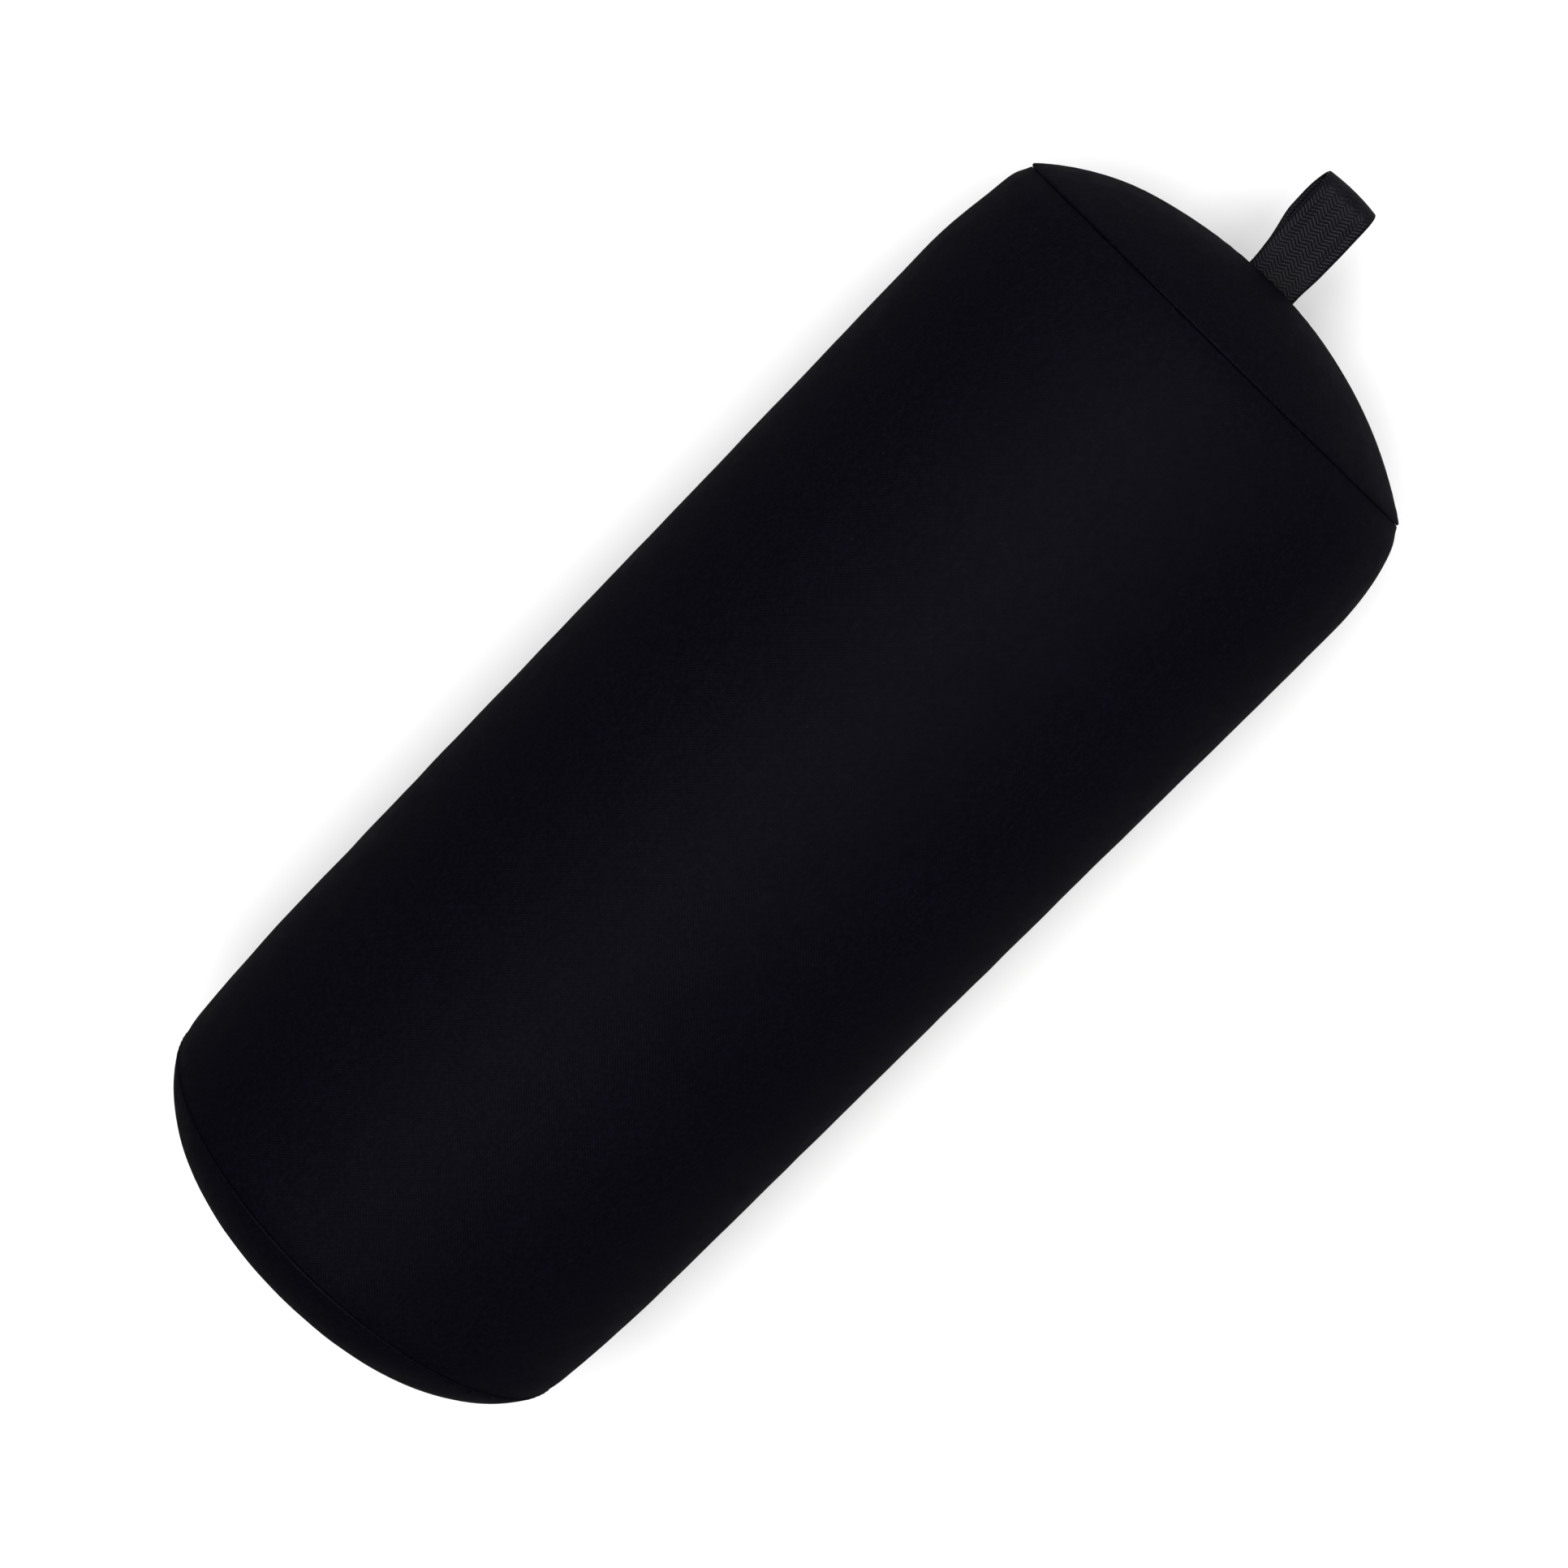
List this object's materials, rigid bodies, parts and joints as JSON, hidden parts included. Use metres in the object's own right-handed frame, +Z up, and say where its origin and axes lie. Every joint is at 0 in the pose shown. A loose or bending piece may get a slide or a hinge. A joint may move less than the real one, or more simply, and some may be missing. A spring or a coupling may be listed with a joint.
{
  "type": "foam roller",
  "caption": "Fabric-covered cylindrical foam roller with softly domed ends, a webbing hang loop on one end and a lengthwise coil zip, for massage, stretching and support.",
  "frame": {"origin": "middle of the narrow flat on which the lying roller rests, half way between its two end seams", "axes": "+X along the roller towards the hang loop, +Z up, -Y the front; the zip is on the +Y side, 25 degrees below the axis"},
  "size_m": [0.3613, 0.13, 0.1296],
  "materials": {
    "cover_cloth": "matte",
    "webbing": "satin",
    "thread": "satin",
    "zip_tape": "matte",
    "zip_coil": "satin",
    "zip_metal": "satin",
    "core_foam": "matte",
    "soft_foam": "matte"
  },
  "bodies": {
    "cover": {"firm_core": "core_foam", "foam_wrap": "soft_foam", "end_pad_loop_end": "soft_foam", "end_pad_plain_end": "soft_foam", "side_panel": "cover_cloth", "end_panel_upper_half": "cover_cloth", "end_panel_lower_half": "cover_cloth", "end_panel_plain_end": "cover_cloth", "seam_thread_loop_end": "thread", "seam_thread_plain_end": "thread", "centre_seam_thread": "thread", "hang_loop_tails": "webbing", "loop_bar_tacks": "thread", "zip_tape_upper": "zip_tape", "zip_tape_lower": "zip_tape", "zip_coil_upper": "zip_coil", "zip_coil_lower": "zip_coil", "zip_top_stops": "zip_metal", "zip_bottom_stop": "zip_metal", "zip_topstitch": "thread"},
    "loop": {"hang_loop": "webbing"},
    "slider": {"zip_slider": "zip_metal"},
    "pull_tab": {"zip_pull_tab": "zip_metal"}
  },
  "joints": [
    {"name": "loop_fold", "type": "hinge", "parent": "cover", "child": "loop", "pos_m": [0.1668, 0, 0.0646], "axis": [0, 1, 0], "range_deg": [-70, 70], "stiffness_Nm_per_rad": 0.005},
    {"name": "zip_slide", "type": "slide", "parent": "cover", "child": "slider", "axis": [-1, 0, 0], "range_m": [0, 0.2152]},
    {"name": "tab_swing", "type": "hinge", "parent": "slider", "child": "pull_tab", "pos_m": [0.1076, 0.0614, 0.03597], "axis": [0, -0.4226, -0.9063], "range_deg": [0, 165]}
  ]
}
